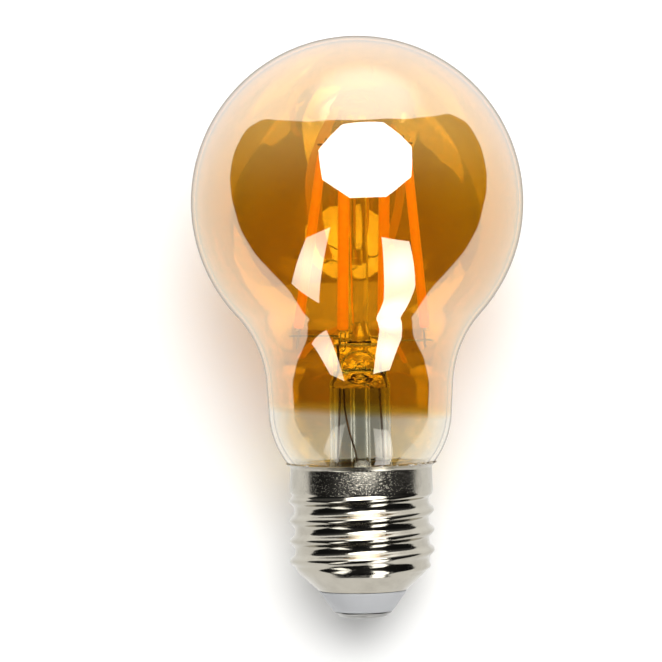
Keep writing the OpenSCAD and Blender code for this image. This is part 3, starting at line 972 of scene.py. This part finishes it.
@dataclass
class ScrewCap:
    """Threaded shell, its cement, the insulator and the centre contact."""

    skirt_r: float = 12.9
    crest_r: float = 13.1
    root_r: float = 12.15
    root_width: float = 1.7
    pitch: float = 3.629
    sheet: float = 0.25
    rim_z: float = 27.9
    crumb_r: float = 13.42
    lip_z: float = 4.9
    lip_r: float = 8.0
    thread_top_z: float = 22.9
    cone_slope: float = 1.1
    cone_soft: float = 1.2
    crest_phase_z: float = 17.5
    draw_in: float = 0.12
    flare: float = 0.82
    flare_z: float = 27.1

    def radius(self, z: np.ndarray, turn: np.ndarray) -> np.ndarray:
        """Outer radius of the shell at a height and a turn round the axis.

        A cosine of the height less the turn's share of the pitch, raised to a power that widens
        the roots, makes the right-hand thread. It eases into the plain skirt above and below
        into a cone, which is the smaller of a sloping line and the root, rounded where they
        cross. The skirt draws in a little towards the rim, which flares.

        Args:
            z: Heights.
            turn: Angles in radians.

        Returns:
            Radii.
        """
        phase = 2 * np.pi * (z - self.crest_phase_z) / self.pitch - (turn - np.pi)
        wave = 0.5 + 0.5 * np.cos(phase)
        thread = self.root_r + (self.crest_r - self.root_r) * wave ** self.root_width
        line = self.lip_r + self.cone_slope * (z - self.lip_z)
        share = unit(0.5 + 0.5 * (self.root_r - line) / self.cone_soft)
        cone = self.root_r + (line - self.root_r) * share - self.cone_soft * share * (1 - share)
        skirt = self.skirt_r - self.draw_in * unit((z - 23.2) / 4.0) ** 2
        skirt = skirt + self.flare * unit((z - self.flare_z) / 0.8) ** 1.3
        low = cone + (thread - cone) * ease((z - 8.2) / 1.8)
        return low + (skirt - low) * ease((z - self.thread_top_z + 1.4) / 1.4)

    def shell(self) -> Surface:
        """Sheet-metal shell with both its faces and rolled edges."""
        z = np.linspace(self.lip_z, self.rim_z, 170)
        zz, aa = np.meshgrid(z, full_turn(180), indexing="ij")
        outer = self.radius(zz, aa)
        out, back = (np.stack([r * np.cos(aa), r * np.sin(aa), zz], axis=-1)
                     for r in (outer, outer - self.sheet))
        rows = np.concatenate([out, back[::-1], out[:1]])
        return rows, grid_quads(len(rows), 180)

    def insulator(self) -> Surface:
        """Moulded cone with soft edges, a neck through the shell and a flange behind it."""
        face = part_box("cap_insulator")[0][2] / MM
        profile = np.array([
            [1.4, face], [5.0, face], [5.25, face + 0.04], [5.45, face + 0.18], [7.75, 4.4],
            [7.92, 4.62], [7.9, 4.78], [7.4, 4.8], [7.4, 5.8], [8.5, 6.0], [8.5, 7.4], [1.4, 7.4],
        ])
        return revolved(closed_profile(profile), 128)

    def contact(self) -> Surface:
        """Stamped contact: a flat face, a rounded shoulder and a rivet through the insulator."""
        profile = np.vstack([
            [[0.0, 0.0], [3.3, 0.0]],
            arc(3.6, 1.3, 1.3, -90.0, -35.0, 8),
            [[5.05, 0.68], [5.2, 0.8], [5.2, 0.98], [1.2, 0.98], [1.2, 8.0], [0.0, 8.0]],
        ])
        return revolved(profile, 128)

    def cement(self) -> Surface:
        """Ring of cement between the glass and the skirt."""
        profile = np.array([
            [11.95, 24.0], [12.15, 26.4], [12.38, 27.1], [12.69, 27.45], [12.71, 27.45],
            [12.43, 27.1], [12.43, 24.0],
        ])
        return revolved(closed_profile(profile), 128)

    def flecks(self) -> Surface:
        """Crumbs of cement squeezed out over the rim: small balls with uneven radii."""
        draw = np.random.default_rng(SEED)
        turns = np.concatenate([draw.uniform(-62.0, -12.0, 14), draw.uniform(0.0, 360.0, 8)])
        a = full_turn(12)[None, :]
        b = np.linspace(-np.pi / 2, np.pi / 2, 9)[:, None]
        shapes = []
        for turn in turns:
            size = draw.uniform(0.12, 0.34)
            around = np.sin(3 * a + draw.uniform(0, 6)) * np.cos(b)
            lumps = 1 + 0.3 * around * np.sin(2 * b + draw.uniform(0, 6))
            x = 1.6 * size * lumps * np.cos(b) * np.cos(a)
            y = size * lumps * np.cos(b) * np.sin(a)
            z = 0.7 * size * lumps * np.sin(b) + np.zeros_like(a)
            t = math.radians(turn)
            c, s = math.cos(t), math.sin(t)
            cx, cy, cz = polar(turn, self.crumb_r, self.rim_z + 0.02)
            points = np.stack([cx - x * s + y * c, cy + x * c + y * s, cz + z], axis=-1)
            shapes.append((points, grid_quads(9, 12)))
        return joined(shapes)

    def build(self) -> None:
        """Makes the four parts of the cap and the crumbs of cement."""
        plate = PressedNickel("nickel_plate").material()
        tin = Metal("contact_tin", (0.48, 0.48, 0.46), (0.28, 0.27, 0.26), rough=0.28, spots=0.7,
                    grain_scale=1500.0, grain_depth=0.00004).material()
        resin = Moulded("insulator_resin", (0.53, 0.54, 0.56), (0.49, 0.50, 0.52), rough=0.42,
                        mottle_scale=140.0).material()
        grey = Moulded("cement", (0.47, 0.43, 0.37), (0.33, 0.30, 0.26), rough=0.9,
                       mottle_scale=900.0, grain_scale=2200.0, grain_depth=0.0001).material()
        for name, shape, finish, crease, slot, nodes in (
            ("screw_shell", self.shell(), plate, 40.0, Slot.NICKEL_PLATE, ["cap_shell"]),
            ("insulator_cone", self.insulator(), resin, 50.0, Slot.INSULATOR, ["cap_insulator"]),
            ("contact_disc", self.contact(), tin, 40.0, Slot.CONTACT, ["centre_contact"]),
            ("cement_ring", self.cement(), grey, 40.0, Slot.CEMENT, ["cap_cement"]),
            ("cement_crumbs", self.flecks(), grey, 40.0, Slot.CEMENT, []),
        ):
            place(piece(name, *shape, [finish], crease=crease), slot, *nodes)


@dataclass
class DriverBoard:
    """Electronics inside the cap, kept as packed and given their finishes."""

    def build(self, frame: dict) -> None:
        """Dresses every node of the driver and the radio.

        Args:
            frame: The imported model.
        """
        for finish, nodes in (
            (Moulded("board_mask", (0.02, 0.17, 0.07), (0.03, 0.21, 0.09), rough=0.35),
             ["driver_board", "radio_module"]),
            (Moulded("capacitor_sleeve", (0.02, 0.025, 0.06), (0.03, 0.035, 0.08), rough=0.22),
             ["bulk_capacitor"]),
            (Moulded("ferrite", (0.05, 0.048, 0.047), (0.08, 0.076, 0.073), rough=0.6),
             ["power_inductor"]),
            (Moulded("resistor_lacquer", (0.28, 0.42, 0.50), (0.33, 0.47, 0.54), rough=0.35),
             ["fusible_resistor"]),
            (Moulded("chip_epoxy", (0.03, 0.03, 0.032), (0.045, 0.045, 0.048), rough=0.6),
             ["bridge_rectifier", "driver_chip"]),
            (Metal("shield_tin", (0.62, 0.63, 0.64), (0.45, 0.45, 0.46), rough=0.3),
             ["radio_shield"]),
            (Moulded("chip_ceramic", (0.42, 0.30, 0.18), (0.50, 0.37, 0.23), rough=0.4),
             ["chip_passives"]),
            (Metal("solder", (0.68, 0.69, 0.70), (0.5, 0.5, 0.5), rough=0.2), ["solder_joints"]),
            (Metal("lead_copper", (0.70, 0.36, 0.22), (0.35, 0.18, 0.12), rough=0.28),
             ["shell_lead", "contact_lead"]),
        ):
            material = finish.material()
            for node in nodes:
                repaint(frame, node, material)


# ---- studio


@dataclass
class Studio:
    """Backdrop that the lamp lies on, softbox and strip lights in a dark room, and the camera."""

    backdrop_half: float = 0.4
    backdrop_shade: float = 0.92
    backdrop_glow: float = 0.18
    backdrop_lean: float = 15.5
    touch_r: float = 13.4
    touch_z: float = 9.0
    heart_z: float = 75.0
    light_distance: float = 1.2
    light_colour: Vec = (1.0, 0.995, 0.98)
    soft_way: tuple[float, float] = (7.0, 30.0)
    soft_half_angle: float = 31.0
    soft_shape: tuple[float, float] = (1.06, 0.9)
    soft_power: float = 5.4
    left_power: float = 1.9
    right_power: float = 3.0
    card_power: float = 0.97
    card_high: float = 1.12
    crown_power: float = 0.7
    crown_way: Vec = (0.12, -0.20, 0.972)
    crown_spread: tuple[float, float] = (0.82, 0.99)
    card_edge: float = 0.006
    room: float = 0.008
    room_high: float = 0.11
    skew: float = 0.028
    horizon: tuple[tuple[float, float], ...] = (
        (-1.0, -0.03), (-0.97, 0.06), (-0.92, 0.13), (-0.87, 0.02), (-0.80, -0.09), (-0.67, -0.13),
        (-0.47, -0.07), (-0.26, 0.02), (-0.02, 0.11), (0.155, 0.20), (0.29, 0.25), (0.44, 0.28),
        (0.58, 0.24), (0.70, 0.05), (0.79, -0.30), (0.86, -0.54), (1.0, -0.95),
    )
    lens: float = 270.0
    distance: float = 0.897
    rise: float = 2.0
    lean: float = 0.875
    aim: Vec = (-5.06, 0.0, 51.8)

    def direction(self, turn: float, rise: float) -> Vector:
        """Unit direction: turn to the right of the camera's side, then up, in degrees."""
        t, e = math.radians(turn), math.radians(rise)
        return Vector((math.sin(t) * math.cos(e), -math.cos(t) * math.cos(e), math.sin(e)))

    @staticmethod
    def sheet(name: str, corners: list[Vec], finish: bpy.types.Material, hidden: str) -> None:
        """Makes one flat face of the studio.

        Args:
            name: Name of the face.
            corners: Its corners in metres.
            finish: Its material.
            hidden: The kind of ray that doesn't see it, as the object's property.
        """
        mesh = bpy.data.meshes.new(name)
        mesh.from_pydata(corners, [], [list(range(len(corners)))])
        mesh.materials.append(finish)
        face = bpy.data.objects.new(name, mesh)
        setattr(face, hidden, False)
        bpy.context.scene.collection.objects.link(face)

    def emitter(self, name: str, corners: list[Vector], power: float) -> None:
        """Flat light, brightest in its middle, that the camera doesn't see directly."""
        middle = sum(corners, Vector()) / len(corners)
        reach = max((c - middle).length for c in corners)
        g = Graph(name + "_glow")
        away = g.against("DISTANCE", middle)
        level = g.ramp(away, 0.0, 0.75 * reach, 1.4 * power, 0.85 * power)
        glow = g.add("Emission", Color=self.light_colour, Strength=level)
        self.sheet(name, corners, g.finish(glow.outputs[0]), "visible_camera")

    def lights(self) -> None:
        """One octagonal softbox above the camera and two strips below it."""
        heart = Vector((0.0, 0.0, self.heart_z * MM))
        d = self.direction(*self.soft_way)
        right = d.cross(Vector((0, 0, 1))).normalized()
        up = right.cross(d)
        reach = self.light_distance * math.tan(math.radians(self.soft_half_angle))
        wide, high = (reach * share for share in self.soft_shape)
        corners = np.radians(np.arange(22.5, 360.0, 45.0))
        self.emitter("softbox", [
            heart + d * self.light_distance
            + right * (wide * math.cos(a)) + up * (high * math.sin(a))
            for a in corners
        ], self.soft_power)
        for name, power, corners in (
            ("strip_left", self.left_power,
             ((-19.0, -16.0), (-37.6, -22.0), (-68.0, -48.0), (-60.6, -65.7))),
            ("strip_right", self.right_power,
             ((16.6, -23.0), (37.7, -25.5), (62.0, -53.0), (38.0, -67.5))),
            ("strip_right_low", self.right_power,
             ((38.0, -67.5), (62.0, -53.0), (108.0, -72.0), (98.0, -83.0))),
        ):
            ends = [heart + self.direction(*c) * self.light_distance for c in corners]
            self.emitter(name, ends, power)

    def backdrop(self) -> None:
        """Pale surface that the lamp lies on, seen from its front side only.

        It leans by the angle at which a plane touches both the round of the bulb and the thread:
        depth at a height is the thread's depth plus the lean's tangent times the height above it.
        """
        h = self.backdrop_half
        slope = math.tan(math.radians(self.backdrop_lean))

        def depth(z: float) -> float:
            """Distance of the surface behind the lamp's axis at a height."""
            return self.touch_r * MM + slope * (z - self.touch_z * MM)

        corners = [(x, depth(z), z) for x, z in ((-h, -h), (h, -h), (h, h), (-h, h))]
        g = Graph("backdrop_white")
        shade = self.backdrop_shade * (1.0 - self.backdrop_glow)
        white = g.add("BsdfPrincipled", Base_Color=(shade, shade, shade * 0.995), Roughness=0.8,
                      Normal=g.bump(g.noise(900.0, 3.0), 0.00005, 0.2),
                      Emission_Color=(1.0, 1.0, 0.99), Emission_Strength=self.backdrop_glow)
        behind = g.add("NewGeometry").outputs["Backfacing"]
        clear = g.add("BsdfTransparent")
        finish = g.finish(g.mix(behind, white.outputs[0], clear.outputs[0]))
        self.sheet("backdrop", corners, finish, "visible_glossy")

    def room_light(self) -> None:
        """Dark room towards the camera with a pale sweep behind and above the lamp.

        The horizon gives, for each height of a direction, how far back it must point to meet
        the sweep. The camera itself sees a pale ground all round.
        """
        g = Graph("studio", world=True)
        bpy.context.scene.world = g.owner
        way = g.add("SeparateXYZ", Vector=g.coords).outputs
        height, back = (g.add("MapRange", Value=way[name], From_Min=-1.0).outputs["Result"]
                        for name in "ZY")
        limit = g.add("ValToRGB", Fac=height)
        limit.color_ramp.interpolation = "CARDINAL"
        stops = limit.color_ramp.elements
        for z, _ in self.horizon[1:-1]:
            stops.new((z + 1) / 2)
        for stop, (z, y) in zip(stops, self.horizon):
            stop.position = (z + 1) / 2
            stop.color = ((y + 1) / 2,) * 3 + (1.0,)
        turned = g.math("MULTIPLY_ADD", way["X"], -0.5 * self.skew, back)
        past = g.math("SUBTRACT", turned, limit.outputs["Color"])
        dark = g.ramp(way["Z"], 0.0, 1.0, self.room, self.room_high)
        card = g.ramp(way["Z"], 0.0, 1.0, self.card_power, self.card_high)
        level = g.ramp(past, -self.card_edge, self.card_edge, dark, card)
        toward = g.against("DOT_PRODUCT", self.crown_way)
        crown = g.ramp(toward, *self.crown_spread, 0.0, self.crown_power)
        lit = g.math("GREATER_THAN", past, 0.0)
        strength = g.math("MULTIPLY_ADD", crown, lit, level)
        seen = g.add("LightPath").outputs["Is Camera Ray"]
        pick = g.add("Mix", Factor=seen, A=strength, B=1.0).outputs["Result"]
        shine = g.add("Background", Color=(1.0, 0.995, 0.985), Strength=pick)
        g.finish(shine.outputs[0])

    def camera(self) -> None:
        """Long lens square to the lamp, rolled by the lamp's lean."""
        data = bpy.data.cameras.new("camera")
        data.lens = self.lens
        data.sensor_width = 36.0
        data.clip_start = 0.01
        eye = bpy.data.objects.new("camera", data)
        target = Vector(self.aim) * MM
        eye.location = target + self.direction(0.0, self.rise) * self.distance
        look = (target - eye.location).to_track_quat("-Z", "Y")
        roll = Matrix.Rotation(math.radians(-self.lean), 4, "Z")
        eye.matrix_world = Matrix.Translation(eye.location) @ look.to_matrix().to_4x4() @ roll
        bpy.context.scene.collection.objects.link(eye)
        bpy.context.scene.camera = eye

    def build(self) -> None:
        """Sets up the camera, the backdrop and the lights."""
        bpy.context.scene.view_settings.view_transform = "Standard"
        self.camera()
        self.backdrop()
        self.lights()
        self.room_light()


def main() -> None:
    """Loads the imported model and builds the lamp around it."""
    logging.basicConfig(level=logging.INFO, format="%(message)s")
    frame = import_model()
    Studio().build()
    GlassBulb().build()
    Stem().build()
    FilamentCage().build(frame)
    ScrewCap().build()
    DriverBoard().build(frame)


if __name__ == "__main__":
    main()
